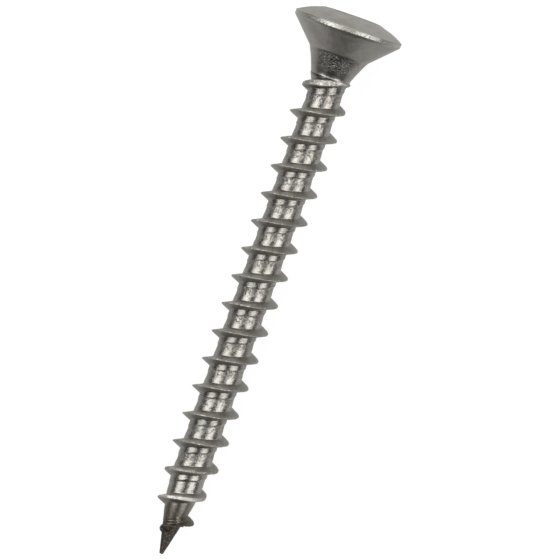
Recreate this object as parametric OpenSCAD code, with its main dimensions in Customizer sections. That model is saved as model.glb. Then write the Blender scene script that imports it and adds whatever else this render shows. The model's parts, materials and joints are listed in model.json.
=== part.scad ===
// Multi-purpose screw for wood and board: a raised countersunk head with a six-lobe socket,
// a conical neck, a thin core and one coarse thread that starts just above the point.
// It is one piece of stainless steel. It lies as it comes to rest, on the edge of its head
// and on the crest of its thread, with the head towards +X.

/* [Head] */
// Diameter of the head at its rim
head_d = 9.9; // [9.2:0.1:10.6]
// Height of the upright rim of the head
rim_h = 0.4; // [0.3:0.05:0.6]
// Bevel that takes the sharpness off both edges of the rim
rim_bevel = 0.06; // [0.04:0.01:0.1]
// Full angle of the countersunk cone under the rim
seat_angle = 90; // [84:1:96]
// Height of the dome above the rim, if the socket weren't cut into it
dome_h = 1.43; // [1.2:0.05:1.7]

/* [Socket] */
// Width of the six-lobe socket from lobe to lobe
socket_d = 4.5; // [4.3:0.05:4.6]
// Width of the socket from valley to valley
socket_inner_d = 3.25; // [3.15:0.05:3.35]
// Radius of the tip of each lobe
lobe_r = 0.38; // [0.34:0.01:0.42]
// Depth of the socket walls below the rim of its opening
socket_depth = 2.6; // [2.2:0.1:2.9]
// Diameter of the round lead-in at the mouth of the socket
lead_in_d = 4.95; // [4.8:0.05:5.1]
// Full angle of the cone at the bottom of the socket
socket_floor_angle = 120; // [110:5:140]

/* [Shank] */
// Length from the point to the top edge of the rim
screw_l = 50; // [46:0.5:54]
// Diameter of the core between the turns of the thread
core_d = 3.12; // [2.9:0.02:3.2]
// Diameter at which the neck meets the countersunk cone
neck_d = 5.42; // [5.2:0.02:5.7]
// Half angle of the conical neck
neck_angle = 23.3; // [20:0.1:26]

/* [Point] */
// Diameter of the blunt end of the point
tip_d = 0.34; // [0.24:0.02:0.5]
// Half angle of the point
tip_angle = 13.2; // [12:0.2:14]
// Radius of the curve that leads from the point into the core
tip_blend_r = 16; // [12:0.5:18]

/* [Thread] */
// Diameter over the crest of the thread
thread_d = 4.88; // [4.6:0.02:5.1]
// Travel of the thread in one turn
pitch = 2.61; // [2.4:0.01:2.8]
// Angle of the flank that faces the head, from a plane across the shank
head_flank = 24; // [20:0.5:27]
// Angle of the flank that faces the point, from a plane across the shank
tip_flank = 21; // [18:0.5:25]
// Width of the flat on the crest where the thread is full
crest_flat = 0.07; // [0.05:0.01:0.12]
// Rounding between the crest and its two flanks
crest_round = 0.1; // [0.06:0.01:0.14]
// Distance from the point to where the thread rises out of the core
thread_start = 1.85; // [1.6:0.05:2.4]
// How fast the thread rises from the core along the shank
start_rise = 0.64; // [0.5:0.02:0.8]
// Distance from the point to where the crest reaches its full diameter
full_thread_start = 9.5; // [8.5:0.1:10.5]
// How much the crest narrows along the shank towards the point
crest_taper = 0.092; // [0.07:0.002:0.11]
// Length over which the crest runs out at the neck
run_out_l = 3.7; // [3:0.1:4.4]
// Depth that the crest loses over its run-out
run_out_drop = 0.64; // [0.5:0.02:0.8]
// Roll of the screw about its own length as it lies
roll = 67.5; // [0:0.5:360]

/* [Hidden] */
steel = "#8f8b84";
$fn = 96;

turn_steps = 24;
blend_steps = 6;
root_sink = 0.12;
crest_top = 0.6;
least_start_width = 0.35;
start_turns = 0.75;
cut_over = 1;

head_r = head_d / 2;
core_r = core_d / 2;
neck_r = neck_d / 2;
tip_r = tip_d / 2;
crest_r = thread_d / 2;
lead_in_r = lead_in_d / 2;

rim_z = screw_l - rim_h;
seat_slope = tan(seat_angle / 2);
seat_z = rim_z - (head_r - neck_r) / seat_slope;
neck_z = seat_z - (neck_r - core_r) / tan(neck_angle);

dome_r = (head_r * head_r + dome_h * dome_h) / (2 * dome_h);
dome_centre_z = screw_l + dome_h - dome_r;
mouth_z = dome_centre_z + sqrt(dome_r * dome_r - lead_in_r * lead_in_r);

blend_l = tip_blend_r * sin(tip_angle);
blend_drop = tip_blend_r * (1 - cos(tip_angle));
cone_end_r = core_r - blend_drop;
cone_l = (cone_end_r - tip_r) / tan(tip_angle);
core_z = cone_l + blend_l;

thread_end = neck_z + 0.3;
run_out_z = thread_end - run_out_l;

// Radius of the bare shank, without its thread, at a distance from the point
function shank_r(z) =
    z < cone_l ? tip_r + z * tan(tip_angle)
    : z < core_z ? core_r - tip_blend_r + sqrt(pow(tip_blend_r, 2) - pow(core_z - z, 2))
    : core_r;

// Radius of the crest of the thread at a distance from the point
function crest_r_at(z) =
    min(crest_r,
        shank_r(z) - root_sink / 2 + start_rise * (z - thread_start),
        crest_r - crest_taper * (full_thread_start - z),
        z < run_out_z ? crest_r : crest_r - run_out_drop * pow((z - run_out_z) / run_out_l, 2));

// Share of its full width that the thread has where it starts
function start_width(z) = min(1, max(least_start_width, (z - thread_start) / start_turns / pitch));

// One section across the thread, from its root on the side of the point, over the crest,
// to its root on the side of the head: pairs of radius and distance along the shank. Both
// flanks keep their place along the whole thread, so a crest that is lower is also wider.
function thread_section(z) =
    let (root = shank_r(z) - root_sink,
         crest = crest_r_at(z),
         shoulder = max(crest - crest_round, root + root_sink / 4),
         wide = start_width(z),
         half = crest_flat / 2,
         tip_at = function (r) z - wide * (half + (crest_r - r) * tan(tip_flank)),
         head_at = function (r) z + wide * (half + (crest_r - r) * tan(head_flank)))
    [[root, tip_at(root)],
     [shoulder, tip_at(shoulder)],
     [crest, z + (tip_at(crest) - z) * crest_top],
     [crest, z + (head_at(crest) - z) * crest_top],
     [shoulder, head_at(shoulder)],
     [root, head_at(root)]];

// The seam of the turned body lies halfway up the side of the screw as it rests
seam_turn = 315 - roll;
section_n = 6;
first_step = ceil(thread_start / pitch * turn_steps);
last_step = floor(thread_end / pitch * turn_steps);

// The thread as one closed ridge, whose root lies inside the core
module thread() {
    sections = [for (i = [first_step:last_step])
        let (a = i * 360 / turn_steps)
        [for (p = thread_section(i * pitch / turn_steps)) [p[0] * cos(a), p[0] * sin(a), p[1]]]];
    steps = len(sections) - 1;
    points = [for (s = sections) for (p = s) p];
    sides = [for (i = [0:steps - 1], j = [0:section_n - 1])
        let (k = (j + 1) % section_n,
             a = i * section_n + j,
             b = i * section_n + k,
             c = a + section_n,
             d = b + section_n)
        each [[a, b, c], [b, d, c]]];
    start_cap = [for (j = [section_n - 1:-1:0]) j];
    end_cap = [for (j = [0:section_n - 1]) steps * section_n + j];
    polyhedron(points = points, faces = concat([start_cap], sides, [end_cap]), convexity = 8);
}

// Half of the outline of the point, the core, the neck, the countersunk cone and the rim
module shank_outline() {
    polygon(concat(
        [[0, 0], [tip_r, 0]],
        [for (i = [0:blend_steps]) let (z = cone_l + blend_l * i / blend_steps) [shank_r(z), z]],
        [[core_r, neck_z], [neck_r, seat_z],
         [head_r - rim_bevel, rim_z - rim_bevel / seat_slope], [head_r, rim_z + rim_bevel],
         [head_r, screw_l - rim_bevel], [head_r - rim_bevel, screw_l], [0, screw_l]]));
}

// Half of the outline of the dome
module dome_outline() {
    intersection() {
        translate([0, rim_z]) square([head_r - rim_bevel, mouth_z - rim_z]);
        translate([0, dome_centre_z]) circle(r = dome_r);
    }
}

// Six-lobe opening, with round lobes and round valleys that run into each other
module socket_outline() {
    lobe_at = socket_d / 2 - lobe_r;
    valley_r = 1.06 * (pow(lobe_at, 2) + pow(socket_inner_d / 2, 2)
                       - lobe_at * socket_inner_d * cos(30) - pow(lobe_r, 2))
               / (2 * lobe_r - socket_inner_d + 2 * lobe_at * cos(30));
    difference() {
        union() {
            circle(r = lobe_at + lobe_r / 5);
            for (i = [0:5]) rotate(i * 60) translate([lobe_at, 0]) circle(r = lobe_r);
        }
        for (i = [0:5])
            rotate(i * 60 + 30) translate([socket_inner_d / 2 + valley_r, 0]) circle(r = valley_r);
    }
}

// The space that the driver enters
module socket() {
    floor_r = socket_inner_d / 2;
    lead_l = (lead_in_d - socket_d) / 2;
    translate([0, 0, mouth_z - socket_depth])
        linear_extrude(socket_depth + cut_over) socket_outline();
    translate([0, 0, mouth_z - lead_l])
        cylinder(r1 = socket_d / 2, r2 = lead_in_r + cut_over, h = lead_l + cut_over);
    translate([0, 0, mouth_z - socket_depth - floor_r / tan(socket_floor_angle / 2)])
        cylinder(r1 = 0, r2 = floor_r, h = floor_r / tan(socket_floor_angle / 2));
}

module upright_screw() {
    difference() {
        union() {
            rotate(seam_turn) rotate_extrude() {
                shank_outline();
                dome_outline();
            }
            thread();
        }
        socket();
    }
}

// The screw leans on the lower edge of its rim and on the corner of the crest that meets the
// floor first: each corner gives a slope, and the least one is where the screw comes to rest
edge_z = rim_z + rim_bevel;
floor_slopes = [for (i = [first_step:last_step])
    let (z = thread_section(i * pitch / turn_steps)[2][1],
         drop = crest_r_at(i * pitch / turn_steps) * -sin(i * 360 / turn_steps + roll))
    (head_r - drop) / (edge_z - z)];
lean = atan(min(floor_slopes));
axis_height = head_r * cos(lean) - edge_z * sin(lean);
box_middle = (mouth_z * cos(lean) + lead_in_r * sin(lean) - tip_r * sin(lean)) / 2;

module screw() {
    color(steel)
        translate([-box_middle, 0, axis_height])
            rotate([0, -lean, 0])
                rotate([90, 0, 90])
                    rotate(roll)
                        upright_screw();
}

screw();
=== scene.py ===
"""A multi-purpose screw for wood and board, lying on a pale floor as it comes to rest.

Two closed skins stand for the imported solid: the threaded shank with its point, and the head
with its neck and socket. Both are worked out in the screw's own frame, by distance from the
point, angle about the screw and radius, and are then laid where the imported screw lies.
"""

import json
import math
from types import SimpleNamespace

import bpy
import numpy as np
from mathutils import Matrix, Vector, noise


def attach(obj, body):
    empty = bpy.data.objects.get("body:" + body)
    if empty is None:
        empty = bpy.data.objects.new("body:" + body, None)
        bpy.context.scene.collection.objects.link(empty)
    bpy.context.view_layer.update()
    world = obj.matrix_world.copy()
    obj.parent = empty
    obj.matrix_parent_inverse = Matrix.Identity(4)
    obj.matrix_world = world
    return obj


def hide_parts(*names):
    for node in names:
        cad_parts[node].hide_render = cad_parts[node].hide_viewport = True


bl_info = {
    "name": "Multi-purpose Screw",
    "version": (1, 0, 0),
    "blender": (4, 5, 0),
    "location": "3D View > Sidebar > Screw",
    "description": "Skins a countersunk screw with a coarse thread and sets a pale stage for it",
    "category": "Add Mesh",
}

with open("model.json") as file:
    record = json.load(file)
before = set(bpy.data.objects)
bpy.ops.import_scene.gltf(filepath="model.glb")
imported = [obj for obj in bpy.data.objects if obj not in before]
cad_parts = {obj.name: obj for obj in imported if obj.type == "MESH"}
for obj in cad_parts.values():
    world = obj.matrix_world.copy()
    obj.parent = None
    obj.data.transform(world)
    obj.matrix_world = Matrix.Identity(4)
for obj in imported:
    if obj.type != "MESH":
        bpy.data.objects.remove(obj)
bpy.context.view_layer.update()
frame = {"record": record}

MM = 0.001
MOUTH = next(m for m in frame["record"]["mounts"] if m["name"] == "drive_socket")
ALONG = Vector(MOUTH["axis"]).normalized()
SIDE = Vector((0, 1, 0))
UP = ALONG.cross(SIDE)

# Points round each turn of the shank, and round each ring of the head
SHANK_COLUMNS = 128
HEAD_COLUMNS = 192

# Lengths in millimetres: the rounded end of the point, the radius at which the neck leaves the
# core, and how far the lip and the end of the crest are past that place
BLUNT = 0.12
NECK_START = 1.56
LIP = 0.47
CREST_END = 0.3

# Distances from the point: the first full turn, where the crest is brightest, and the notched
# turn below it
FIRST_TURN = 5.3
NOTCHES = 3.15

# Phases of the groove, as distances from the lower crest: the land, the slope down into the
# rough band, the sharp step back up, and the second land
LAND, SLOPE, BAND, STEP = 0.74, 1.32, 1.54, 1.76

# Distances from the lower crest at which the shank's skin has its rows
GROOVE_ROWS = {
    "crest": (0, 0.025, 0.05, 0.08, 0.115),
    "upper flank": (0.16, 0.21, 0.26, 0.31, 0.355, 0.395, 0.43, 0.465),
    "land": (0.51, 0.58, 0.66, 0.74),
    "slope": (0.80, 0.85, 0.91, 0.97, 1.03),
    "band": (1.09, 1.15, 1.21, 1.27, 1.33, 1.39, 1.45, 1.51, 1.56),
    "step": (1.6, 1.635, 1.665, 1.695, 1.73, 1.78),
    "far land": (1.86, 1.96, 2.06, 2.14),
    "lower flank": (2.185, 2.22, 2.26, 2.305, 2.35, 2.395, 2.44, 2.485, 2.525, 2.56, 2.587),
}

# A full turn, and where wound places start again: along the underside of the lying screw
TURN = 2 * math.pi
SEAM = math.radians(-90)

# The bottom of the socket is a cone of this half angle
PUNCH_ANGLE = math.radians(60)

# Colours of the film of old oil, the pale flakes, the painted shade in creases, and the scratches
OLD_OIL = (0.135, 0.116, 0.09)
FLAKES = (0.30, 0.28, 0.25)
CREASE_SHADE = (0.015, 0.013, 0.011)
SCRATCHES = (0.16, 0.125, 0.1)

# The camera looks straight down from far off, turned as the screw lies in the picture
LENS, SENSOR = 500, 36
CAMERA_AIM = (1.055 * MM, -1.79 * MM, 3.5 * MM)
CAMERA_TURN = math.radians(19.65 - 90)

# Half the width of the floor in metres, the middle of its part that the steel reflects most,
# and the dim ceiling of the studio
FLOOR_HALF = 3.0
LIT_MIDDLE = (0.02, -0.010, 0)
CEILING = (0.079, 0.079, 0.079)


def length_prop(name, description, mm):
    return bpy.props.FloatProperty(
        name=name, description=description, default=mm * MM, unit="LENGTH"
    )


def angle_prop(name, description, degrees):
    return bpy.props.FloatProperty(
        name=name, description=description, default=math.radians(degrees), unit="ROTATION"
    )


def number_prop(name, description, default, **limits):
    return bpy.props.FloatProperty(name=name, description=description, default=default, **limits)


def colour_prop(name, description, default):
    return bpy.props.FloatVectorProperty(
        name=name, description=description, default=default, size=3, subtype="COLOR"
    )


class ThreadSizes(bpy.types.PropertyGroup):
    """Sizes of the shank, its point and its thread."""

    screw_length: length_prop(
        "Screw Length", "Length from the point to the top edge of the rim", 50
    )
    core_diameter: length_prop(
        "Core Diameter", "Diameter of the smooth lands between the turns of the thread", 3.13
    )
    thread_diameter: length_prop("Thread Diameter", "Diameter over the crest of the thread", 4.88)
    pitch: length_prop("Pitch", "Travel of the thread in one turn", 2.61)
    head_flank: angle_prop(
        "Head-side Flank",
        "Angle of the flank that faces the head, from a plane across the shank",
        24,
    )
    tip_flank: angle_prop(
        "Point-side Flank",
        "Angle of the flank that faces the point, from a plane across the shank",
        21,
    )
    crest_flat: length_prop(
        "Crest Flat", "Width of the flat on the crest where the thread is full", 0.07
    )
    thread_start: length_prop(
        "Thread Start", "Distance from the point to where the thread rises out of the core", 1.85
    )
    start_rise: number_prop(
        "Start Rise", "How fast the thread rises from the core along the shank", 0.64
    )
    full_thread_start: length_prop(
        "Full Thread Start",
        "Distance from the point to where the crest reaches its full diameter",
        9.5,
    )
    crest_taper: number_prop(
        "Crest Taper", "How much the crest narrows along the shank towards the point", 0.092
    )
    run_out_length: length_prop(
        "Run-out Length", "Length over which the crest runs out at the neck", 3.7
    )
    run_out_drop: length_prop("Run-out Drop", "Depth that the crest loses over its run-out", 0.64)
    band_depth: length_prop(
        "Band Depth",
        "Depth of the rough band that the rolling dies leave along the groove",
        0.052,
    )
    tip_diameter: length_prop("Tip Diameter", "Diameter of the blunt end of the point", 0.34)
    tip_angle: angle_prop("Tip Angle", "Half angle of the point", 13.2)
    tip_blend: length_prop(
        "Tip Blend", "Radius of the curve that leads from the point into the core", 16
    )
    roll: angle_prop("Roll", "Roll of the screw about its own length as it lies", 67.5)
    wear: number_prop(
        "Wear", "How ragged the crest, the burr and the rough band are", 1.0, min=0.0, max=2.0
    )


class HeadSizes(bpy.types.PropertyGroup):
    """Sizes of the neck, the head and the socket."""

    neck_angle: angle_prop("Neck Angle", "Half angle of the conical neck", 23.3)
    neck_diameter: length_prop(
        "Neck Diameter", "Diameter at which the neck meets the countersunk cone", 5.42
    )
    seat_angle: angle_prop("Seat Angle", "Full angle of the countersunk cone", 90)
    head_diameter: length_prop("Head Diameter", "Diameter of the head at its rim", 9.9)
    rim_height: length_prop("Rim Height", "Height of the upright rim of the head", 0.4)
    dome_height: length_prop(
        "Dome Height", "Height of the dome above the rim, if the socket weren't cut into it", 1.43
    )
    socket_width: length_prop(
        "Socket Width", "Width of the six-lobe socket from lobe to lobe", 4.5
    )
    socket_inner_width: length_prop(
        "Socket Inner Width", "Width of the socket from valley to valley", 3.25
    )
    lobe_radius: length_prop("Lobe Radius", "Radius of the tip of each lobe", 0.38)
    socket_depth: length_prop(
        "Socket Depth", "Depth of the socket walls below the edge of its opening", 2.6
    )
    lead_in_diameter: length_prop(
        "Lead-in Diameter", "Diameter of the round lead-in at the mouth of the socket", 4.95
    )
    skew: number_prop(
        "Head Skew", "How far the head stands askew on the shank, as rise over width", 0.0115
    )


class SteelFinish(bpy.types.PropertyGroup):
    """Colours and gloss of the steel."""

    steel: colour_prop("Steel", "Colour of the clean steel", (0.325, 0.315, 0.288))
    stained: colour_prop(
        "Stained Steel", "Colour of the brownish stains on the steel", (0.25, 0.23, 0.205)
    )
    burnt: colour_prop("Dark Point", "Colour of the dark film on the point", (0.062, 0.052, 0.044))
    # This colour also paints the shade on the front of the neck and on one side of the cone
    pits: colour_prop("Pits", "Colour of the grime in pits and creases", (0.07, 0.063, 0.055))
    smooth_gloss: number_prop(
        "Smooth Roughness", "Roughness of the rolled lands", 0.27, min=0.0, max=1.0
    )
    rough_gloss: number_prop(
        "Rough Roughness",
        "Roughness of the flanks, the neck and the rough band",
        0.45,
        min=0.0,
        max=1.0,
    )


class StageSettings(bpy.types.PropertyGroup):
    """The floor, the lamps and the camera."""

    floor_colour: colour_prop("Floor", "Colour of the floor and the backdrop", (0.8, 0.8, 0.8))
    box_light: number_prop(
        "Soft Box Brightness",
        "Brightness of both soft boxes, where 1 is a white sheet of paper",
        3.0,
    )
    view_width: length_prop("View Width", "Width of what the camera sees", 49.95)


def all_sizes(scene):
    """Every size as a plain number, in millimetres or radians, with what follows from them."""
    size = SimpleNamespace()
    for group in (scene.thread_sizes, scene.head_sizes):
        for name in group.__annotations__:
            unit = MM if group.bl_rna.properties[name].unit == "LENGTH" else 1
            setattr(size, name, getattr(group, name) / unit)
    size.core = size.core_diameter / 2
    size.full = size.thread_diameter / 2
    size.edge = size.head_diameter / 2
    size.lead = size.lead_in_diameter / 2
    size.inner = size.socket_inner_width / 2

    # The dome is part of a ball, which the mouth of the socket cuts off
    size.ball = (size.edge**2 + size.dome_height**2) / (2 * size.dome_height)
    size.centre = size.screw_length + size.dome_height - size.ball
    size.mouth = size.centre + math.sqrt(size.ball**2 - size.lead**2)

    # The lower edge of the rim, where the cone meets the neck, and where the neck starts
    meeting = size.neck_diameter / 2
    size.rim = size.screw_length - size.rim_height
    size.seat = size.rim - (size.edge - meeting) / math.tan(size.seat_angle / 2)
    size.neck = size.seat - (meeting - NECK_START) / math.tan(size.neck_angle)
    size.lip = size.neck + LIP
    size.crest_end = size.neck + CREST_END
    return size


# Shapes in the screw's own frame, in millimetres


def laid_down(around, along, radius, size):
    """Points in the frame, in metres, from angle, distance from the point and radius."""
    turned = around + size.roll
    side = np.outer(radius * np.cos(turned), SIDE)
    up = np.outer(radius * np.sin(turned), UP)
    return np.array(MOUTH["pos_m"]) + MM * (np.outer(along - size.mouth, ALONG) + side + up)


def on_axis(along, size):
    """Points in the frame on the screw's axis, in metres."""
    nothing = np.zeros(len(along))
    return laid_down(nothing, np.array(along), nothing, size)


def own_places(around, along, radius):
    """The same points in the screw's own frame, in millimetres."""
    return np.column_stack([radius * np.cos(around), radius * np.sin(around), along])


def from_seam(around, roll):
    """Angles about the lying screw, in one turn that starts at its underside."""
    return np.mod(around + roll - SEAM, TURN) + SEAM


def wound_places(around, along, radius, size):
    """Places where the third number runs across the turns of the thread, not along the screw."""
    return own_places(around, along - size.pitch * from_seam(around, size.roll) / TURN, radius)


def grain(places, across, along, seed):
    """Smooth noise from about -1 to 1 at each place, the same on every run."""
    shifted = places * np.array((across, across, along)) + np.array([17.3, 5.1, 9.7]) * seed
    return np.array([noise.noise(Vector(p)) for p in shifted])


def ramp(value, start, end):
    """0 before start, 1 after end, and smooth between them."""
    t = np.clip((value - start) / (end - start), 0, 1)
    return t * t * (3 - 2 * t)


def bump(value, middle, spread):
    """A smooth hump of height 1 at the middle."""
    return np.exp(-(((value - middle) / spread) ** 2))


def soft_max(a, b, blend):
    return (a + b + np.sqrt((a - b) ** 2 + blend * blend)) / 2


def soft_min(a, b, blend):
    return (a + b - np.sqrt((a - b) ** 2 + blend * blend)) / 2


def turned_by(around, degrees, size):
    """How far each angle is from a direction about the lying screw, in radians. 0 degrees is
    the left in the main view, 90 the front and 180 the right."""
    away = around + size.roll - math.radians(degrees)
    return np.arctan2(np.sin(away), np.cos(away))


def facing(around, degrees, spread, size):
    """A hump of height 1 towards a direction about the lying screw."""
    return bump(turned_by(around, degrees, size), 0, spread)


def bare_radius(along, size):
    """Radius of the shank without its thread."""
    tip = size.tip_diameter / 2
    slope = math.tan(size.tip_angle)
    curved_in = size.core - size.tip_blend * (1 - math.cos(size.tip_angle))
    cone = (curved_in - tip) / slope
    end = cone + size.tip_blend * math.sin(size.tip_angle)
    rest = np.sqrt(np.maximum(size.tip_blend**2 - (end - along) ** 2, 0))
    curve = size.core - size.tip_blend + rest
    radius = np.where(along < cone, tip + along * slope, np.where(along < end, curve, size.core))
    blunt = np.sqrt(np.clip(1 - (1 - along / BLUNT) ** 2, 0, 1))
    return np.where(along < BLUNT, radius * (0.6 + 0.4 * blunt), radius)


def crest_radius(along, size):
    """Radius of the crest where it is at this distance from the point."""
    taper = size.full - size.crest_taper * (size.full_thread_start - along)
    rise = bare_radius(along, size) - 0.06 + size.start_rise * (along - size.thread_start)
    share = np.maximum(along - size.crest_end + size.run_out_length, 0) / size.run_out_length
    drop = size.full - size.run_out_drop * share**2
    drop = drop - 1.2 * np.maximum(along - size.crest_end - 0.1, 0)

    # Near the neck the crest stands proud twice and dips between
    proud = 0.08 * bump(along, 41.3, 0.4)
    drop = drop + proud + 0.08 * (bump(along, 43.85, 0.45) - bump(along, 42.6, 0.4))
    return np.minimum.reduce([size.full + proud, rise, taper, drop])


def crest_shift(crest_at, size):
    """How far the crest strays towards the head near its start and where it runs out."""
    left = crest_at - size.crest_end
    strays = 0.10 * ramp(left, -1.1, -0.75) + 0.24 * ramp(left, -0.6, -0.27)
    returns = 0.30 * ramp(left, -0.2, 0.3)
    return 0.015 + strays - returns + 0.05 * bump(crest_at, FIRST_TURN, 0.6)


def thread_ridge(around, crest_at, past, size):
    """Radius of the thread's two flanks at a distance past a crest, and of that crest."""
    wear = size.wear
    places = own_places(around, crest_at, 2.4)
    ragged = 0.018 * grain(places, 2.2, 0.3, 5) + 0.022 * grain(places, 6.0, 0.3, 6)
    teeth = 0.4 * bump(crest_at, NOTCHES, 0.33) * grain(places, 6.7, 0.3, 8)
    top = crest_radius(crest_at, size) + (ragged + 0.2 * teeth) * wear
    apex = top + (size.full - top) * (0.2 + 0.8 * ramp(crest_at, 4.6, 6.0))

    # The thread is narrower where it starts, and its flat is wider where it runs out
    wide = np.clip((crest_at - size.thread_start) / 1.1 / size.pitch, 0.3, 1)
    jagged = 0.022 * grain(places, 5.0, 0.3, 19) * wear
    away = (past - crest_shift(crest_at, size) - jagged) / wide
    left = crest_at - size.crest_end
    flat = size.crest_flat / 2 + 0.03 * ramp(left, -1.3, -0.9)
    above = flat + 0.05 * (bump(left, -0.62, 0.08) - bump(left, -0.43, 0.06))
    below = flat + 0.07 * bump(left, -0.33, 0.12)
    over = apex - (away - above) / math.tan(size.head_flank)
    under = apex - (teeth * wear - away - below) / math.tan(size.tip_flank)
    return soft_min(top + 0.01, np.minimum(over, under), 0.045), top


def threaded_radius(around, along, phase, size):
    """Radius of the threaded shank, and its masks, for points at a distance past the crest."""
    wear = size.wear
    places = wound_places(around, along, 1.6, size)
    bare = bare_radius(along, size)

    # The groove with its rough band, whose edges wander a little
    wander = 0.035 * grain(places, 1.6, 0.9, 1) * wear
    starts = ramp(along, 5.0, 7.2)
    near = ramp(phase + wander, LAND, SLOPE)
    band = near * (1 - ramp(phase + 1.4 * wander, BAND, STEP))
    crinkle = 0.011 * grain(places, 2.6, 5.5, 2) + 0.006 * grain(places, 6.0, 10.0, 3)
    crinkle = band * crinkle * wear * ramp(along, 7.5, 9.5)
    lip = 0.015 * bump(phase + 1.4 * wander, STEP + 0.03, 0.05) * starts
    calm = 0.005 * (grain(places, 1.9, 1.2, 4) + grain(places, 4.2, 5.0, 18)) * wear
    base = bare - size.band_depth * starts * band + crinkle + lip + calm

    # The flanks that rise from the groove to the crests below and above it
    below, low_top = thread_ridge(around, along - phase, phase, size)
    above, high_top = thread_ridge(around, along - phase + size.pitch, phase - size.pitch, size)
    ridge = np.maximum(below, above)
    top = np.where(below > above, low_top, high_top)
    ends = ramp(along - size.crest_end, -1.7, -1.1)
    radius = soft_max(base, ridge, 0.05 + 0.09 * ends)

    # Masks: the worn crest, the flanks, the rough band, a stain past the step, painted shade at
    # the feet of the flanks, and painted light on the flanks and the lands on the right
    lower = above > below
    stands = ramp(top - bare, 0.08, 0.25)
    worn = ramp(radius - top, np.where(lower, -0.14, -0.22), np.where(lower, -0.03, -0.05))
    crest = stands * worn
    flank = ramp(ridge - base, 0.0, 0.08) * (1 - crest)
    groove = ramp(along, 7.0, 9.0) * (1 - ramp(ridge - base, -0.05, 0.05))
    # Painted shade at the feet of the flanks and on the flank that faces the point
    foot = np.maximum(0.6 * bump(ridge - base, 0.02, 0.09), 0.42 * lower * flank)
    # Painted light and shade: the head-side flanks are lighter at the front and darker elsewhere,
    # and the lands on the right lighter
    front = facing(around, 78, 0.6, size)
    front_lit_flank = flank * (0.9 * front * ramp(radius - base, 0.1, 0.5) - 0.12)
    right = facing(around, 150, 0.35, size) * (1 - flank) * (1 - crest)
    masks = {
        "crest": crest,
        "flank": flank,
        "band": band * groove,
        "specked": groove * ramp(phase + wander, STEP, STEP + 0.06),
        "painted_crease_shade": foot * ends,
        "painted_light": np.where(lower, 0.14 * front * flank, front_lit_flank) + 0.18 * right,
    }
    return radius, masks


def burr(around, along, radius, size):
    """What the pinched-off steel left where the thread starts: a bead, grooves, a raised edge
    that is painted bright as a highlight, and teeth, with painted shade in the grooves and the
    pocket, and how bare the steel is."""
    places = own_places(around, along, radius)
    left = turned_by(around, 4, size)
    front = turned_by(around, 84, size)
    rough = grain(places, 5.5, 5.5, 7)
    bead_at, pocket_at, edge_at, scores_at = 2.22, 2.2, 2.65, 2.98

    # The bead is a ball that stands out of the shank at one place
    out_at, height = 0.60, along - bead_at
    inside = (0.32 + 0.05 * rough) ** 2 - (out_at * np.sin(left)) ** 2 - height**2
    ball = np.where(np.cos(left) > 0, out_at * np.cos(left), 0) + np.sqrt(np.maximum(inside, 0))
    bead = np.where(inside > 0, np.maximum(ball - radius, 0), 0)

    scored = bump(front, 0, 0.7) * bump(along, scores_at, 0.36)
    waves = np.cos(TURN * (along + 0.105 - 0.3 * front) / 0.25)
    scores = scored * (0.5 - 0.5 * waves)
    toothed = facing(around, 165, 0.8, size) * bump(along, NOTCHES + 0.1, 0.28)
    teeth = 0.05 * toothed * grain(places, 9, 9, 8)
    scuffed = ramp(along, 0.3, 1.2) * (1 - ramp(along, 3.0, 4.4)) * 0.012 * rough
    pocket = bump(front, -0.2, 0.5) * bump(along, pocket_at + 0.1 * rough, 0.19)
    edge = bump(along - 0.3 * front + 0.03 * rough, edge_at, 0.08) * bump(front, 0.3, 0.7)
    cut = 0.08 * scores + 0.04 * pocket
    changed = radius + (bead - cut + teeth + scuffed + 0.04 * edge) * size.wear
    # The grooves and the pocket are painted dark as shade, less on the raised edge, which is
    # painted bright as a highlight through how bare the steel is
    dark = np.clip(0.6 * scores + pocket - edge, 0, 1)
    return changed, dark, np.maximum(0.8 * ramp(bead, 0, 0.1), 1.5 * edge)


def flared_radius(around, along, radius, size):
    """Radius of the shank with the slope that it takes under the head, up to a crease below
    the lip, and how deep that crease is."""
    # The end of the thread fills the crease on the right, and the neck reaches over it on the
    # left
    below = along - size.lip
    reach = facing(around, -8, 0.6, size)
    slope = (along - size.neck + 0.4 * reach) * math.tan(size.neck_angle)
    flare = np.minimum(slope, 0.25 + 0.15 * reach)
    filled = 1 - ramp(np.abs(turned_by(around, 165, size)), 0.8, 1.2)
    crease = bump(below, -0.06, 0.06) * (1 - filled) * (1 - reach)
    fill = 0.06 * filled + 0.09 * facing(around, 178, 0.4, size)
    flared = soft_max(radius, 1.55 + flare, 0.02) - 0.16 * crease + fill * bump(below, -0.09, 0.14)
    radius = np.where(along > size.neck - 0.4, flared, radius)
    return np.where(below > 0.03, np.minimum(radius, 1.6), radius), crease


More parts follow.
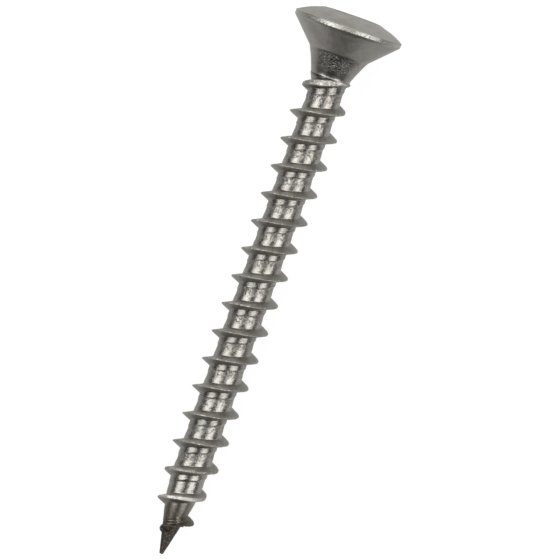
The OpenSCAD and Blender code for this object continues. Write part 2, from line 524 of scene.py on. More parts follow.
def skin_shank(size):
    """The skin of the threaded shank: one strip of quads that winds along the thread."""
    turn = SHANK_COLUMNS
    rows = np.concatenate(list(GROOVE_ROWS.values()))
    top = size.lip + 0.16
    last = math.ceil(top / size.pitch * turn) + turn
    columns = np.arange(-turn, last + 1)
    along = columns[:, None] * size.pitch / turn + rows[None, :]

    # Corners past either end fall together on a ring there
    inside = (along > 0) & (along < top)
    base = int(inside.sum())
    number = np.zeros(along.shape, int)
    number[inside] = np.arange(base)
    ring = np.broadcast_to((columns % turn)[:, None], along.shape)
    number[along <= 0] = base + ring[along <= 0]
    number[along >= top] = base + turn + ring[along >= top]
    winding = np.broadcast_to((columns * TURN / turn)[:, None], along.shape)
    once = np.arange(turn) * TURN / turn
    around = np.concatenate([winding[inside], once, once])
    ends = np.repeat([0.0, top], turn)
    phases = np.mod(ends - np.tile(once, 2) / TURN * size.pitch, size.pitch)
    phase = np.concatenate([np.broadcast_to(rows, along.shape)[inside], phases])
    along = np.concatenate([along[inside], ends])

    radius, masks = threaded_radius(around, along, phase, size)
    radius, dark, bare = burr(around, along, radius, size)
    radius, crease = flared_radius(around, along, radius, size)
    places = own_places(around, along, radius)
    # Painted shade in the crease below the lip, in a hollow by the neck, and in the grooves and
    # the pocket of the burr
    hollow = facing(around, 50, 0.32, size) * bump(along, size.neck + 0.22, 0.16)
    masks["painted_crease_shade"] = np.clip(masks["painted_crease_shade"] + 0.85 * crease + 0.4 * hollow + dark, 0, 1)
    burnt = 1 - ramp(along + 0.25 * grain(places, 1.5, 1.5, 9), 2.5, 3.3)
    masks["burnt"] = burnt * (0.4 + 0.6 * ramp(along, 0.06, 0.3)) * (1 - np.minimum(bare, 1))

    # Bright steel, real polish with a painted highlight that is brighter towards one side: the
    # first turn, the run-out, a patch by the lip and flecks by the burr
    first = (0.68 + 0.32 * facing(around, 62, 0.5, size)) * bump(along, FIRST_TURN, 0.6)
    run_out = 0.45 * facing(around, 70, 0.42, size) * ramp(along, 43.7, 44.2)
    patch = 0.6 * facing(around, 122, 0.4, size) * bump(along, 45.05, 0.22)
    for degrees, place in ((149, 3.70), (127, 3.50), (120, 3.28), (107, 3.64)):
        patch = patch + 0.75 * facing(around, degrees, 0.1, size) * bump(along, place, 0.07)
    patch = patch + 0.45 * ramp(bare, 0.8, 1.4)
    polish_and_highlight = np.maximum(masks["crest"] * (first + run_out), patch)
    masks["polish_and_highlight"] = polish_and_highlight
    # The glint on the crest is a painted highlight, brightest towards the front
    masks["scuffed"] = masks["crest"] * (0.4 + 0.8 * facing(around, 68, 0.5, size))
    tinted = 1 - ramp(along + 0.6 * grain(places, 1.5, 1.5, 10), 3.6, 6.0)
    masks["tinted"] = tinted * (1 - 0.9 * polish_and_highlight) * (1 - 0.5 * bare)

    one_turn_on = np.roll(number, -turn, 0)
    a, b = number[:-1], number[1:]
    d = np.concatenate([a[:, 1:], one_turn_on[:-1, :1]], 1)
    c = np.concatenate([b[:, 1:], one_turn_on[1:, :1]], 1)
    faces = whole_faces(np.stack([a, b, c, d], -1)[:last].reshape(-1, 4))
    tip_ring = list(range(base, base + turn))
    end_ring = list(range(base + turn, base + 2 * turn))
    faces += fan(tip_ring[::-1], base + 2 * turn) + fan(end_ring, base + 2 * turn + 1)
    points = np.vstack([laid_down(around, along, radius, size), on_axis([0.0, top], size)])
    places = np.vstack([places, [[0, 0, 0], [0, 0, top]]])
    middle_of = [base, base + turn]
    masks = {name: np.append(mask, mask[middle_of]) for name, mask in masks.items()}
    return points, faces, places, masks, [0] * len(faces)


def whole_faces(quads):
    """Quads as faces, where a quad with corners that fell together becomes a triangle or goes."""
    clean = (quads != np.roll(quads, -1, 1)).all(1)
    faces = [tuple(q) for q in quads[clean].tolist()]
    for quad in quads[~clean].tolist():
        kept = [q for i, q in enumerate(quad) if q != quad[i - 1]]
        if len(set(kept)) >= 3:
            faces.append(tuple(kept))
    return faces


def fan(ring, middle):
    """Triangles from each side of a ring of points to the point in its middle."""
    return [(a, b, middle) for a, b in zip(ring, ring[1:] + ring[:1])]


def lobed_radius(around, size):
    """Radius of the six-lobe opening at each angle."""
    lobe = size.lobe_radius
    at = size.socket_width / 2 - lobe
    sixth = math.pi / 6
    crossing = at**2 + size.inner**2 - 2 * at * size.inner * math.cos(sixth) - lobe**2
    valley = 1.06 * crossing / (2 * lobe - 2 * size.inner + 2 * at * math.cos(sixth))
    fold = np.abs(np.mod(around + sixth, 2 * sixth) - sixth)
    hill = at * np.cos(fold) + np.sqrt(np.maximum(lobe**2 - (at * np.sin(fold)) ** 2, 0))
    hill = np.where(lobe > at * np.sin(fold), hill, 0)
    reach = size.inner + valley
    off = sixth - fold
    under = valley**2 - (reach * np.sin(off)) ** 2
    dip = np.where(under > 0, reach * np.cos(off) - np.sqrt(np.maximum(under, 0)), np.inf)
    return np.minimum(np.maximum(hill, at + lobe / 5), dip)


def head_outline(size):
    """Rows of the head from under its neck up over the dome: distance and radius."""
    lip, edge, top = size.lip, size.edge, size.screw_length
    seat = size.seat + 0.07
    rim = size.rim + 0.04

    def straight(z):
        return NECK_START + (z - size.neck) * math.tan(size.neck_angle)

    # The neck, a little hollow, with its lip at the lower end
    rows = [(lip + 0.03, 1.2), (lip - 0.01, 1.66)]
    near_lip = (0, 0.015, 0.035, 0.06, 0.085, 0.115, 0.15, 0.2, 0.28, 0.4, 0.56)
    for up in (*near_lip, *np.linspace(0.7, seat - lip - 0.12, 14)):
        proud = 0.04 * math.exp(-max(up - 0.02, 0) / 0.045) - 0.03 * (up == 0)
        hollow = 0.045 * math.sin(math.pi * up / (seat - lip))
        rows.append((lip + up, straight(lip + up) + proud - hollow))

    # The cone, and the rim with its two rounded edges
    cone = (edge - straight(seat)) / (rim - seat)
    for up in (-0.07, -0.03, 0.0, 0.03, 0.07):
        rows.append((seat + up, soft_max(straight(seat + up), straight(seat) + up * cone, 0.012)))
    for z in np.linspace(seat + 0.13, rim - 0.12, 24):
        rows.append((z, straight(seat) + (z - seat) * cone))
    lower = ((-0.09, 0.088), (-0.06, 0.06), (-0.03, 0.036), (0.005, 0.014), (0.04, 0.002))
    rows += [(rim + up, edge - back) for up, back in lower]
    rows += [(rim + up, edge) for up in (0.08, 0.14, 0.20, 0.26, 0.32, 0.37)]
    upper = ((0.04, 0.003), (0.07, 0.014), (0.095, 0.045))
    rows += [(top + up, edge - back) for up, back in upper]

    # The dome, with a slightly full shoulder
    last = math.atan2(size.lead, size.mouth - size.centre)
    for t in np.linspace(math.asin((edge - 0.12) / size.ball), last + 0.03, 26):
        radius = size.ball * math.sin(t)
        full = 0.05 * ramp(radius, 2.7, 4.4)
        rows.append((size.centre + size.ball * math.cos(t) + full, radius))

    # The worn edge between the dome and the lead-in of the socket
    worn = 0.36
    back = worn * math.tan((last + math.pi / 4) / 2)
    middle = size.lead + back * math.cos(last) - worn * math.sin(last)
    below = size.mouth - back * math.sin(last) - worn * math.cos(last)
    for t in np.linspace(last, -math.pi / 4, 11):
        rows.append((below + worn * math.cos(t), middle + worn * math.sin(t)))
    return rows


def head_rings(around, size):
    """Rings of the head from the neck inwards, as distances and radii, how many of them lie
    outside the socket, and where its bottom is."""
    turn = len(around)
    rings = [(np.full(turn, z), np.full(turn, r)) for z, r in head_outline(size)]
    outside = len(rings)
    wall = lobed_radius(around, size)
    floor = size.mouth - size.socket_depth
    bottom = floor - size.inner / math.tan(PUNCH_ANGLE)

    # Down the lead-in, down the lobed walls and over the cone at the bottom
    end_z, end_r = rings[-1]
    for t in (0.25, 0.5, 0.75, 0.97):
        slope = size.mouth - size.lead + wall - end_z
        rings.append((end_z + slope * t, end_r + (wall - end_r) * t))
    brink = size.mouth - 0.01 - (size.lead - wall)
    for t in (0.0, 0.02, 0.1, 0.25, 0.45, 0.65, 0.85, 0.97, 1.0):
        rings.append((brink + (floor - brink) * t, wall))
    for t in (0.985, 0.9, 0.6, 0.3, 0.12):
        rings.append((np.minimum(bottom + wall * t / math.tan(PUNCH_ANGLE), floor), wall * t))
    along = np.concatenate([z for z, r in rings])
    return along, np.concatenate([r for z, r in rings]), outside, bottom


def worn_head(around, along, radius, skin, size):
    """Distances and radii of the head's points with its marks of forging and wear, how far the
    points are moved aside, and the masks."""
    wear = size.wear
    top = size.screw_length
    places = own_places(around, along, radius)

    # The crinkled rim, the rough neck, the lip with its knob, and calm unevenness elsewhere
    rim = bump(along, (size.rim + top) / 2 + 0.03, 0.28) * skin * ramp(radius, 4.7, 4.85)
    crinkle = 0.012 * grain(places, 2.8, 5.0, 11) + 0.005 * grain(places, 6.0, 7.0, 12)
    under = bump(along, size.rim - 0.03 + 0.05 * grain(places, 1.1, 0.1, 13), 0.045)
    rough = ramp(along, size.neck + 0.9, size.neck + 1.3) * skin
    rough = rough * (1 - ramp(along, size.seat - 0.15, size.seat + 0.03))
    rough = rough * (1 - 0.6 * ramp(np.abs(turned_by(around, 91, size)), 0.58, 0.85))
    speckle = 0.008 * grain(places, 5.0, 6.0, 14) + 0.006 * grain(places, 9, 9, 15)
    calm = skin * ramp(radius, 1.8, 2.0) * 0.005 * grain(places, 0.5, 0.7, 16)
    radius = radius + calm + (rim * crinkle + rough * speckle - 0.02 * under * skin * rim) * wear
    lip = bump(along, size.lip + 0.05, 0.08) * skin
    radius = radius + 0.014 * lip * grain(places, 2.2, 0.2, 17) * wear
    knob = facing(around, 178, 0.35, size) * bump(along, size.lip + 0.03, 0.13)
    radius = radius + 0.06 * knob * skin * ramp(radius, 1.6, 1.7) * wear

    # Painted highlight: the lip is brighter towards one side, and the upper edge of the rim is
    # bright all round
    lip = lip * (0.6 + 0.4 * facing(around, 112, 0.5, size))
    lip = lip + 0.85 * bump(along, top + 0.08, 0.07) * skin
    front = facing(around, 90, 0.8, size)
    cone = ramp(along, size.seat, size.seat + 0.2) * skin
    cone = cone * (1 - ramp(along, size.rim - 0.15, size.rim))
    # Painted shade: the rough neck is darker, most at its front, a band low on the neck's front is
    # darker still, and the cone is darker towards one side
    grime_and_shade = rough * (0.35 + 0.65 * front) + 0.45 * cone * facing(around, 140, 0.6, size)
    low = 1.2 * bump(along, size.neck + 0.95, 0.24) * skin * front
    specks = facing(around, 125, 0.4, size) * bump(along, size.rim + 0.08, 0.12)

    # The head stands askew, and has two shallow sunk places
    askew = size.skew * radius * -np.cos(around + size.roll)
    sunk = 0.05 * facing(around, 180, 0.9, size) * bump(radius, 3.1, 0.7)
    sunk = sunk * skin * ramp(along, top, top + 0.3)
    sunk = sunk - 0.055 * facing(around, 112, 0.45, size) * bump(along, size.rim + 0.03, 0.1)
    along = along + askew * ramp(along, size.seat - 1.2, size.seat) - sunk
    inner_dome = bump(radius, 2.8, 0.2) * skin * ramp(along, top, top + 0.3)
    masks = {
        "rim": rim,
        "rough": rough + 0.5 * inner_dome + 1.1 * rim * specks,
        "grime_and_shade": np.clip(grime_and_shade + low, 0, 1),
        "low": low,
        "cone": cone,
        "dome": skin * ramp(along, top + 0.03, top + 0.1),
        "lip": lip,
    }
    return along, radius, 0.01 + 1.6 * size.skew * (top - along), masks


def skin_head(size):
    """The skin of the neck, the head and the socket, as rings from the neck inwards."""
    turn = HEAD_COLUMNS
    ring = np.arange(turn) * TURN / turn
    along, radius, outside, bottom = head_rings(ring, size)
    low = along[0]
    around = np.tile(ring, len(along) // turn)
    skin = np.arange(len(along)) < outside * turn
    along, radius, aside, masks = worn_head(around, along, radius, skin, size)

    count = len(along)
    number = np.arange(count).reshape(-1, turn)
    beside = np.roll(number, -1, 1)
    quads = np.stack([number[:-1], beside[:-1], beside[1:], number[1:]], -1).reshape(-1, 4)
    faces = [tuple(q) for q in quads.tolist()]
    on_skin = (outside - 1) * turn
    slots = [0] * on_skin + [1] * (len(faces) - on_skin) + [0] * turn + [1] * turn
    faces += fan(number[0].tolist()[::-1], count) + fan(number[-1].tolist(), count + 1)
    points = laid_down(around, along, radius, size) + np.outer(aside * MM, SIDE)
    points = np.vstack([points, on_axis([low, bottom], size)])
    places = np.vstack([own_places(around, along, radius), [[0, 0, low], [0, 0, bottom]]])
    masks = {name: np.append(mask, [0, 0]) for name, mask in masks.items()}
    return points, faces, places, masks, slots


def keep_places(mesh, name, places, pitch, roll):
    """Keeps each corner's place in the screw's own frame, wound along the screw by a pitch."""
    corners = np.zeros(len(mesh.loops), int)
    mesh.loops.foreach_get("vertex_index", corners)
    starts = np.zeros(len(mesh.polygons), int)
    mesh.polygons.foreach_get("loop_start", starts)
    lying = from_seam(np.arctan2(places[:, 1], places[:, 0]), roll)[corners]

    # A face across the seam keeps its corners on one side of it
    sizes = np.diff(np.append(starts, len(corners)))
    highest = np.repeat(np.maximum.reduceat(lying, starts), sizes)
    lying = np.where(highest - lying > math.pi, lying + TURN, lying)
    wound = places[corners].copy()
    wound[:, 2] -= pitch * lying / TURN
    kept = mesh.attributes.new(name, "FLOAT_VECTOR", "CORNER")
    kept.data.foreach_set("vector", wound.astype(np.float32).ravel())


def build_piece(name, skin, materials, windings, roll):
    """A smooth mesh with its places and masks kept as attributes, as one object."""
    points, faces, places, masks, slots = skin
    mesh = bpy.data.meshes.new(name)
    mesh.from_pydata(points.tolist(), [], faces)
    mesh.polygons.foreach_set("use_smooth", [True] * len(mesh.polygons))
    for material in materials:
        mesh.materials.append(material)
    mesh.polygons.foreach_set("material_index", slots)
    for kept_as, pitch in windings.items():
        keep_places(mesh, kept_as, places, pitch, roll)
    for mask_name, mask in masks.items():
        kept = mesh.attributes.new(mask_name, "FLOAT", "POINT")
        kept.data.foreach_set("value", mask.astype(np.float32))
    mesh.update()
    piece = bpy.data.objects.new(name, mesh)
    bpy.context.scene.collection.objects.link(piece)
    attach(piece, "root")
    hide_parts("screw")


# Nodes


class Output:
    """An output of a node. Sums and products of it add Math nodes to its tree."""

    def __init__(self, socket):
        self.socket = socket
        self.tree = socket.id_data

    def calculated(self, operation, other):
        inputs = {0: self, 1: other}
        return Output(add_node(self.tree, "Math", inputs, operation=operation).outputs[0])

    def __add__(self, other):
        return self.calculated("ADD", other)

    def __sub__(self, other):
        return self.calculated("SUBTRACT", other)

    def __mul__(self, other):
        return self.calculated("MULTIPLY", other)

    def most(self, other):
        return self.calculated("MAXIMUM", other)

    def __rtruediv__(self, other):
        inputs = {0: other, 1: self}
        return Output(add_node(self.tree, "Math", inputs, operation="DIVIDE").outputs[0])

    def clipped(self):
        """The same sum or product, kept from 0 to 1."""
        self.socket.node.use_clamp = True
        return self


def plug(socket, value):
    """Links a socket to an output, or sets it to a number, a vector or a colour."""
    if isinstance(value, Output):
        value = value.socket
    if isinstance(value, bpy.types.NodeSocket):
        socket.id_data.links.new(value, socket)
    elif socket.type == "RGBA":
        socket.default_value = (*value, 1)
    else:
        socket.default_value = value


def add_node(tree, kind, inputs=None, **settings):
    """A shader node with its settings, and its inputs linked or set by name or number."""
    made = tree.nodes.new("ShaderNode" + kind)
    for name, value in settings.items():
        setattr(made, name, value)
    for label, value in (inputs or {}).items():
        plug(made.inputs[label], value)
    return made


def outputs_of(node):
    return {socket.name: Output(socket) for socket in node.outputs}


def masks_of(tree, *names):
    """Outputs of Attribute nodes that read masks of the mesh."""
    nodes = [add_node(tree, "Attribute", attribute_name=name) for name in names]
    return [Output(node.outputs["Fac"]) for node in nodes]


def place_of(tree, name):
    """The output of an Attribute node that reads places in the screw's own frame."""
    return Output(add_node(tree, "Attribute", attribute_name=name).outputs["Vector"])


def mixed(factor, first, second):
    """A Mix node for colours."""
    inputs = {0: factor, 6: first, 7: second}
    return Output(add_node(factor.tree, "Mix", inputs, data_type="RGBA").outputs[2])


def layered(colour, *layers):
    """A colour under layers of others, each with its share."""
    for share, over in layers:
        colour = mixed(share, colour, over)
    return colour


def toned(colour, amount):
    """A colour made lighter or darker by an amount around 1."""
    inputs = {"Vector": colour, "Scale": amount}
    return Output(add_node(colour.tree, "VectorMath", inputs, operation="SCALE").outputs["Vector"])


def ranged(value, low, high, first=0.0, last=1.0, kind="LINEAR"):
    """A Map Range node that takes low and high to first and last."""
    inputs = {"Value": value, "From Min": low, "From Max": high, "To Min": first, "To Max": last}
    return Output(add_node(value.tree, "MapRange", inputs, interpolation_type=kind).outputs[0])


def lay_out(tree):
    """Places the nodes in columns, by the most steps that each is from the end."""
    column = {node.name: 0 for node in tree.nodes}
    for _ in tree.nodes:
        for link in tree.links:
            source = link.from_node.name
            column[source] = max(column[source], column[link.to_node.name] + 1)
    filled = {}
    for node in tree.nodes:
        at = column[node.name]
        filled[at] = filled.get(at, 0) + 1
        node.location = (-220 * at, -260 * filled[at])


# Groups that the steels share


def new_group(name, inputs, outputs):
    """An empty shader node group with its two ends. A socket is given by its kind, or by a
    number if it is a value with that default."""
    group = bpy.data.node_groups.new(name, "ShaderNodeTree")
    for way, sockets in (("INPUT", inputs), ("OUTPUT", outputs)):
        for label, kind in sockets.items():
            socket_type = "NodeSocket" + (kind if isinstance(kind, str) else "Float")
            socket = group.interface.new_socket(label, in_out=way, socket_type=socket_type)
            if not isinstance(kind, str):
                socket.default_value = kind
    given = outputs_of(group.nodes.new("NodeGroupInput"))
    return group, given, group.nodes.new("NodeGroupOutput").inputs


def use_group(tree, name, **values):
    """Places a group in a material and sets or links its inputs by name."""
    inputs = {label.replace("_", " "): value for label, value in values.items()}
    return outputs_of(add_node(tree, "Group", inputs, node_tree=bpy.data.node_groups[name]))


def noise_field(place, size, **settings):
    """The value of a Noise Texture with grains of a size in millimetres."""
    inputs = {"Vector": place, "Scale": 1.0 / size, **settings}
    return Output(add_node(place.tree, "TexNoise", inputs).outputs[0])


def grain_group():
    """Fine grain that can run around the screw, as a height and as specks."""
    group, given, out = new_group(
        "Steel Grain",
        {"Place": "Vector", "Size": 0.2, "Around": 1.0},
        {"Height": "Float", "Specks": "Float"},
    )
    x, y, z = outputs_of(add_node(group, "SeparateXYZ", {0: given["Place"]})).values()
    joined = add_node(group, "CombineXYZ", {0: x, 1: y, 2: z * given["Around"]})
    place = Output(joined.outputs[0])
    field = noise_field(place, given["Size"], Detail=3.0, Roughness=0.6)
    plug(out["Height"], field)
    plug(out["Specks"], ranged(field, 0.56, 0.70))
    lay_out(group)


def blotch_group():
    """Soft patches of a second colour, such as stains and rolled-in film."""
    colours = {"Colour": "Color", "Other Colour": "Color"}
    group, given, out = new_group(
        "Steel Blotches",
        {"Place": "Vector", **colours, "Size": 1.0, "Amount": 0.5},
        {"Colour": "Color", "Mask": "Float"},
    )
    field = noise_field(given["Place"], given["Size"], Detail=4.0, Roughness=0.62)
    patches = ranged(field, 0.42, 0.66, kind="SMOOTHSTEP")
    share = patches * given["Amount"]
    plug(out["Colour"], mixed(share, given["Colour"], given["Other Colour"]))
    plug(out["Mask"], patches)
    lay_out(group)


def pit_group():
    """Small pits, as a mask that is 1 at the bottom of each."""
    group, given, out = new_group(
        "Steel Pits", {"Place": "Vector", "Size": 0.2, "Share": 0.4}, {"Mask": "Float"}
    )
    push = add_node(group, "TexNoise", {"Vector": given["Place"], "Scale": 4.0}).outputs["Color"]
    inputs = {0: push, 1: (0.25, 0.25, 0.25), 2: given["Place"]}
    pushed = add_node(group, "VectorMath", inputs, operation="MULTIPLY_ADD").outputs[0]
    inputs = {"Vector": pushed, "Scale": 1.0 / given["Size"], "Smoothness": 0.3}
    cells = outputs_of(add_node(group, "TexVoronoi", inputs, feature="SMOOTH_F1"))
    plug(out["Mask"], ranged(cells["Distance"], 0.05, given["Share"], 1.0, 0.0, "SMOOTHSTEP"))
    lay_out(group)


def crease_group():
    """Thin winding creases, as a mask that is 1 along each."""
    group, given, out = new_group(
        "Steel Creases", {"Place": "Vector", "Size": 0.3, "Width": 0.05}, {"Mask": "Float"}
    )
    field = noise_field(given["Place"], given["Size"], Detail=2.0, Distortion=0.6)
    level = (field - 0.5).calculated("ABSOLUTE", 0.0)
    plug(out["Mask"], ranged(level, 0.0, given["Width"], 1.0, 0.0, "SMOOTHSTEP"))
    lay_out(group)


def share_groups():
    """Builds the node groups that the steels share, once."""
    if "Steel Grain" not in bpy.data.node_groups:
        for build in (grain_group, blotch_group, pit_group, crease_group):
            build()


# Materials


def grained(place, size, around):
    """Steel Grain at a place, as its height and its specks."""
    return use_group(place.tree, "Steel Grain", Place=place, Size=size, Around=around)


def new_material(name):
    material = bpy.data.materials.new(name)
    material.use_nodes = True
    return material, material.node_tree


def finish_steel(material, colour, roughness, relief, depth):
    """Gives a steel its colour, its roughness and a relief of a depth in millimetres."""
    tree = material.node_tree
    inputs = {"Strength": 1.0, "Distance": depth * MM, "Height": relief}
    normal = add_node(tree, "Bump", inputs).outputs[0]
    shader = tree.nodes["Principled BSDF"].inputs
    shader["Metallic"].default_value = 1.0
    for label, value in (("Base Color", colour), ("Roughness", roughness), ("Normal", normal)):
        plug(shader[label], value)
    lay_out(tree)
    return material


def stained_steel(place, finish, size, amount):
    """The colour of the clean steel with its stains."""
    given = {"Place": place, "Size": size, "Amount": amount}
    given |= {"Colour": finish.steel, "Other_Colour": finish.stained}
    return use_group(place.tree, "Steel Blotches", **given)["Colour"]


def lighter_steel(finish, times):
    return tuple(min(1.0, times * c) for c in finish.steel)


def rolled_steel(finish):
    """Steel of the shank: smooth lands, rough bands, duller flanks, a worn crest with a painted
    highlight, a dark point, and painted light and shade on the flanks and in the creases.
    """
    material, tree = new_material("rolled_steel")
    place = place_of(tree, "screw_place")
    band, crest, flank, painted_light = masks_of(tree, "band", "crest", "flank", "painted_light")
    burnt, tinted, polish_and_highlight = masks_of(tree, "burnt", "tinted", "polish_and_highlight")
    painted_crease_shade, specked, scuffed = masks_of(tree, "painted_crease_shade", "specked", "scuffed")
    fine = grained(place, 0.15, 2.0)
    drawn = grained(place, 0.7, 9.0)
    broad = grained(place, 0.25, 1.0)
    pits = use_group(tree, "Steel Pits", Place=place, Size=0.3, Share=0.34)
    creases = use_group(tree, "Steel Creases", Place=place, Size=0.5, Width=0.035)

    # Creases and pits in the rough band and on the crest, and specks everywhere
    worn = (crest - polish_and_highlight).clipped()
    hollow = creases["Mask"].most(pits["Mask"])
    pitted = (worn * 0.8).most(band) * hollow
    dark = (pitted.most(specked * hollow) * 0.8).most(fine["Specks"] * 0.5)
    # Painted light: the flanks are lighter, more so at the front and on the lands on the right;
    # the stain past the step is darker
    lighter = flank * 0.16 + painted_light + specked * -0.18 + 1.0
    # The glint is a painted highlight on the crest and on the polish of the first turn, the
    # run-out and the burr
    flecks = (broad["Specks"] * 2.2 + 0.25).clipped()
    streaked = drawn["Specks"] * -1.0 + 1.0
    glint = (scuffed * flecks).most(polish_and_highlight * streaked)
    colour = stained_steel(place, finish, 0.7, 0.65)
    colour = layered(
        toned(toned(colour, fine["Height"] * 1.5 + 0.25), lighter),
        (dark * 0.75, finish.pits),
        (glint, lighter_steel(finish, 2.8)),
        (tinted * 0.88, OLD_OIL),
        (burnt * 0.97, finish.burnt),
        (fine["Specks"] * burnt.most(tinted), FLAKES),
        # Painted shade in the creases, at the feet of the flanks and in the burr
        (painted_crease_shade * 0.9, CREASE_SHADE),
    )

    # Gloss falls from the lands to the band, the flanks and the crest
    duller = (band * 0.1).most(flank).most(burnt).most(tinted * 0.6) + worn
    gloss = duller * (finish.rough_gloss - finish.smooth_gloss) + (finish.smooth_gloss - 0.06)
    relief = (band * 0.25).most(flank).most(crest).most(burnt) * 1.1 + 0.5 + crest
    relief = relief * (fine["Height"] - 0.5) + drawn["Height"] * 0.6 - pitted
    return finish_steel(material, colour, gloss + fine["Height"] * 0.12, relief, 0.03)


def headed_steel(finish):
    """Steel of the head: a matt dome, a stained cone, a crinkled rim and a rough neck, with a
    painted highlight on the rim and the lip and painted shade on the front of the neck.
    """
    material, tree = new_material("headed_steel")
    place = place_of(tree, "screw_place")
    slanted = place_of(tree, "slanted_place")
    rough, rim, lip, dome = masks_of(tree, "rough", "rim", "lip", "dome")
    grime_and_shade, low, cone = masks_of(tree, "grime_and_shade", "low", "cone")
    fine = grained(place, 0.15, 1.0)
    wide = grained(place, 0.5, 1.0)
    streaks = grained(slanted, 0.7, 5.0)
    pits = use_group(tree, "Steel Pits", Place=place, Size=0.16, Share=0.5)
    scratches = use_group(tree, "Steel Creases", Place=place, Size=1.1, Width=0.012)

    hollow = (pits["Mask"] * rough).most((streaks["Specks"] * rim * 1.1).clipped())
    dark = hollow.most(fine["Specks"] * 0.3)
    uneven = fine["Height"] - 0.5
    # The rough neck is mottled, and painted darker as shade, most at its front
    swing = (rough * 2.0 + 0.7) * uneven + grime_and_shade * -0.22 + 0.96
    colour = stained_steel(place, finish, 1.5, 0.8)
    colour = layered(
        toned(colour, swing),
        # Painted highlight on the rim and the lip
        (rim.most(lip), lighter_steel(finish, 1.28)),
        (dark * 0.55, finish.pits),
        # Painted shade on the neck's front and on one side of the cone, over the grime of the
        # rough neck
        (grime_and_shade * 0.15 + low * 0.3, finish.pits),
        (scratches["Mask"] * wide["Specks"] * cone * 0.7, SCRATCHES),
        (dome * 0.35, finish.steel),
    )
    gap = finish.rough_gloss - finish.smooth_gloss - 0.05
    gloss = (rough * -0.3 + lip + dome) * gap + finish.smooth_gloss
    gloss = gloss + fine["Height"] * 0.1
    waves = (streaks["Height"] - 0.5) * rim * 1.3 + wide["Height"]
    relief = (rough.most(rim * 0.35) * 1.3 + 0.3) * uneven + waves - hollow
    return finish_steel(material, colour, gloss, relief, 0.026)


def punched_steel(finish):
    """Steel inside the socket: scored along the walls by the punch, with dark specks along the
    scoring.
    """
    material, tree = new_material("punched_steel")
    place = place_of(tree, "screw_place")
    scored = grained(place, 0.1, 0.12)
    colour = stained_steel(place, finish, 0.6, 0.9)
    colour = mixed(scored["Specks"] * 0.4, colour, finish.pits)
    gloss = scored["Height"] * 0.15 + finish.smooth_gloss
    return finish_steel(material, colour, gloss, scored["Height"], 0.012)


# Stage


def floor_material(colour):
    """A pale floor that is white to the eye, keeps a faint shadow and shows in the steel."""
    material, tree = new_material("pale_floor")
    tree.nodes.remove(tree.nodes["Principled BSDF"])
    ray = outputs_of(add_node(tree, "LightPath"))
    eye = ray["Is Camera Ray"]
    seen = eye.most(ray["Is Glossy Ray"]).most(ray["Is Transmission Ray"])

    # In the steel the floor grows dim away from the screw, as a sheet on a dark table does
    spot = add_node(tree, "NewGeometry").outputs["Position"]
    away = spot
    for operation, by in (("SUBTRACT", LIT_MIDDLE), ("MULTIPLY", (0.5, 1, 0))):
        away = add_node(tree, "VectorMath", {0: away, 1: by}, operation=operation).outputs[0]
    away = outputs_of(add_node(tree, "VectorMath", {0: away}, operation="LENGTH"))["Value"]
    shown = eye.most(ranged(away, 0.02, 0.055, 1, 0.36, "SMOOTHSTEP"))

    # It is brighter past the head, which the dome reflects
    x = outputs_of(add_node(tree, "SeparateXYZ", {0: spot}))["X"]
    beyond = ranged(x, 0.026, 0.036, 0.45, 0.76)
    level = add_node(tree, "Mix", {"Factor": eye, "A": beyond, "B": 0.82}).outputs["Result"]
    white = add_node(tree, "Emission", {"Strength": Output(level) * shown}).outputs[0]
    pale = mixed(shown, (0, 0, 0), (0.25, 0.25, 0.25))
    shaded = add_node(tree, "BsdfDiffuse", {"Color": pale}).outputs[0]
    both = add_node(tree, "AddShader", {0: shaded, 1: white}).outputs[0]
    plain = add_node(tree, "BsdfDiffuse", {"Color": colour}).outputs[0]
    chosen = add_node(tree, "MixShader", {0: seen, 1: plain, 2: both}).outputs[0]
    plug(tree.nodes["Material Output"].inputs["Surface"], chosen)
    lay_out(tree)
    return material


def set_world():
    """White to the camera, and a dim studio ceiling to everything else."""
    world = bpy.data.worlds.new("dim_studio")
    bpy.context.scene.world = world
    world.use_nodes = True
    tree = world.node_tree
    eye = outputs_of(add_node(tree, "LightPath"))["Is Camera Ray"]
    plug(tree.nodes["Background"].inputs["Color"], mixed(eye, CEILING, (1, 1, 1)))
    lay_out(tree)


def across(degrees, along):
    """A direction that leans from straight up to the screw's left, or right if less than 0."""
    lean = math.radians(degrees)
    return (along, math.sin(lean), math.cos(lean))


# The soft boxes: direction, distance, size and share of the brightness
SOFT_BOXES = {
    "left_box": (across(36.5, 0.08), 0.40, (0.56, 0.307), 1.0),
    "right_box": (across(-40.75, 0.08), 0.40, (0.56, 0.295), 1.0),
    "end_box": ((0.74, 0, 0.67), 0.40, (0.30, 0.16), 0.6),
    "end_card": ((0.985, 0, 0.15), 0.50, (0.40, 0.12), 0.5),
}


def soft_box(name, direction, distance, size, brightness):
    """A rectangular lamp that faces the screw from a direction, long side along the screw."""
    lamp = bpy.data.lights.new(name, "AREA")
    lamp.shape = "RECTANGLE"
    lamp.size, lamp.size_y = size
    lamp.energy = brightness * math.pi * size[0] * size[1]
    box = bpy.data.objects.new(name, lamp)
    towards = Vector(direction).normalized()
    box.location = towards * distance
    box.rotation_euler = (-towards).to_track_quat("-Z", "Y").to_euler()
    box.visible_camera = False
    bpy.context.scene.collection.objects.link(box)


class SCREW_OT_add_shank(bpy.types.Operator):
    """Adds the threaded shank with its point"""

    bl_idname = "screw.add_shank"
    bl_label = "Add Threaded Shank"
    bl_options = {"REGISTER", "UNDO"}

    def execute(self, context):
        share_groups()
        size = all_sizes(context.scene)
        steels = [rolled_steel(context.scene.steel_finish)]
        windings = {"screw_place": size.pitch}
        build_piece("threaded_shank", skin_shank(size), steels, windings, size.roll)
        return {"FINISHED"}


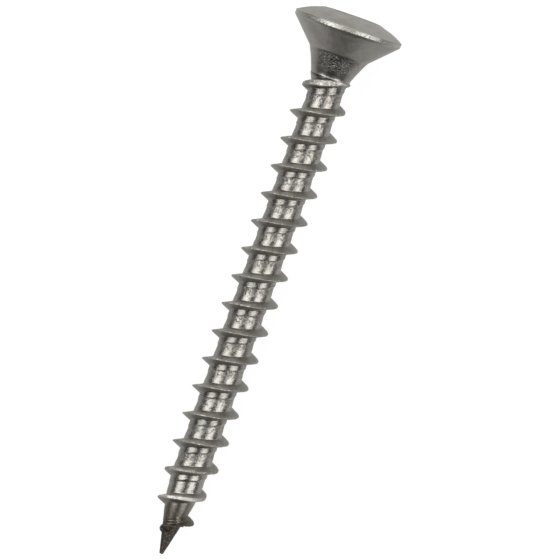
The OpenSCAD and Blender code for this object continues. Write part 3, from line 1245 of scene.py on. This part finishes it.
class SCREW_OT_add_head(bpy.types.Operator):
    """Adds the head with its neck and its six-lobe socket"""

    bl_idname = "screw.add_head"
    bl_label = "Add Head"
    bl_options = {"REGISTER", "UNDO"}

    def execute(self, context):
        share_groups()
        size = all_sizes(context.scene)
        finish = context.scene.steel_finish
        steels = [headed_steel(finish), punched_steel(finish)]
        windings = {"screw_place": 0, "slanted_place": 40}
        build_piece("countersunk_head", skin_head(size), steels, windings, size.roll)
        return {"FINISHED"}


class SCREW_OT_add_stage(bpy.types.Operator):
    """Adds the pale floor, the soft boxes and the camera that looks down on the screw"""

    bl_idname = "screw.add_stage"
    bl_label = "Add Stage"
    bl_options = {"REGISTER", "UNDO"}

    def execute(self, context):
        scene = context.scene
        settings = scene.stage_settings
        mesh = bpy.data.meshes.new("floor")
        half = FLOOR_HALF
        corners = [(-half, -half, 0), (half, -half, 0), (half, half, 0), (-half, half, 0)]
        mesh.from_pydata(corners, [], [(0, 1, 2, 3)])
        mesh.materials.append(floor_material(settings.floor_colour))
        floor = bpy.data.objects.new("floor", mesh)
        scene.collection.objects.link(floor)

        set_world()
        for name, (direction, distance, size, share) in SOFT_BOXES.items():
            soft_box(name, direction, distance, size, share * settings.box_light)

        data = bpy.data.cameras.new("camera")
        data.lens, data.sensor_width = LENS, SENSOR
        data.clip_start, data.clip_end = 0.01, 20
        camera = bpy.data.objects.new("camera", data)
        away = Vector((0, 0, settings.view_width * LENS / SENSOR))
        camera.location = Vector(CAMERA_AIM) + away
        camera.rotation_euler = (0, 0, CAMERA_TURN)
        scene.collection.objects.link(camera)
        scene.camera = camera
        scene.view_settings.view_transform = "Standard"
        return {"FINISHED"}


OPERATORS = (SCREW_OT_add_stage, SCREW_OT_add_shank, SCREW_OT_add_head)
SETTINGS = {
    "thread_sizes": ThreadSizes,
    "head_sizes": HeadSizes,
    "steel_finish": SteelFinish,
    "stage_settings": StageSettings,
}


class SCREW_PT_panel(bpy.types.Panel):
    """The buttons that build the screw, and its sizes"""

    bl_label = "Multi-purpose Screw"
    bl_idname = "SCREW_PT_panel"
    bl_space_type = "VIEW_3D"
    bl_region_type = "UI"
    bl_category = "Screw"

    def draw(self, context):
        for operator in OPERATORS:
            self.layout.operator(operator.bl_idname)
        for name in SETTINGS:
            group = getattr(context.scene, name)
            box = self.layout.box()
            for size in group.__annotations__:
                box.prop(group, size)


CLASSES = (*SETTINGS.values(), *OPERATORS, SCREW_PT_panel)


def register():
    for item in CLASSES:
        bpy.utils.register_class(item)
    for name, group in SETTINGS.items():
        setattr(bpy.types.Scene, name, bpy.props.PointerProperty(type=group))


def unregister():
    for name in SETTINGS:
        delattr(bpy.types.Scene, name)
    for item in reversed(CLASSES):
        bpy.utils.unregister_class(item)


def main():
    """Builds the whole scene."""
    register()
    bpy.ops.screw.add_stage()
    bpy.ops.screw.add_shank()
    bpy.ops.screw.add_head()
    bpy.context.view_layer.update()


if __name__ == "__main__":
    main()
